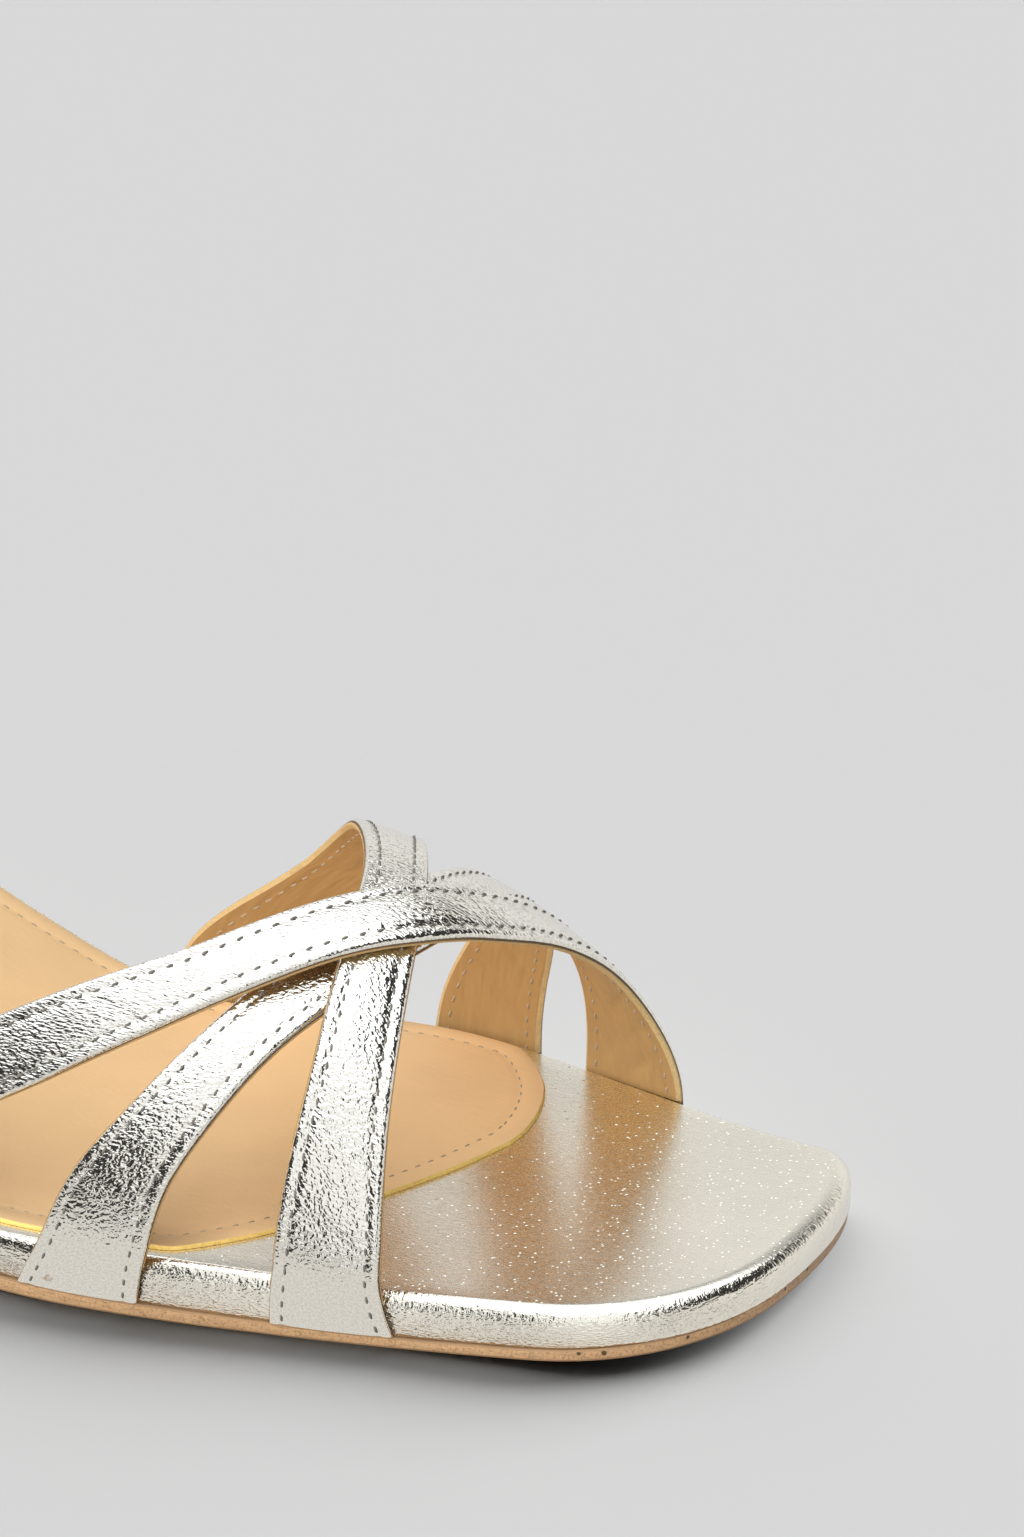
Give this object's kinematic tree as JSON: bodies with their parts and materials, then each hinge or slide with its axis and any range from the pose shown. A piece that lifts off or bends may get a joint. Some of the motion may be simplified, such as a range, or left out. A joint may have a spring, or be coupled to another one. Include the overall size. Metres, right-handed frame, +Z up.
{
  "type": "open-toe sandal",
  "caption": "Heeled open-toe mule sandal: crossing metallic leather straps over a wrapped platform with a tan sock and a block heel.",
  "frame": {"origin": "middle of the shoe's box, on the floor it stands on", "axes": "+X to the toe, +Y to the wearer's left (the inner side of this right shoe), +Z up"},
  "size_m": [0.2394, 0.0904, 0.0554],
  "materials": {
    "outsole_leather": "raw tan sole leather, burnished edge",
    "wrap_leather": "champagne metallic foil leather",
    "sock_leather": "smooth tan leather",
    "strap_leather": "silver metallic foil leather, crinkled",
    "lining_leather": "tan lining leather",
    "thread": "grey sewing thread",
    "tip_rubber": "matt rubber"
  },
  "bodies": {
    "root": {"outsole": "outsole_leather", "footbed": "wrap_leather", "insole": "sock_leather", "upper": "strap_leather", "heel": "wrap_leather", "heel_tip": "tip_rubber"}
  },
  "joints": []
}
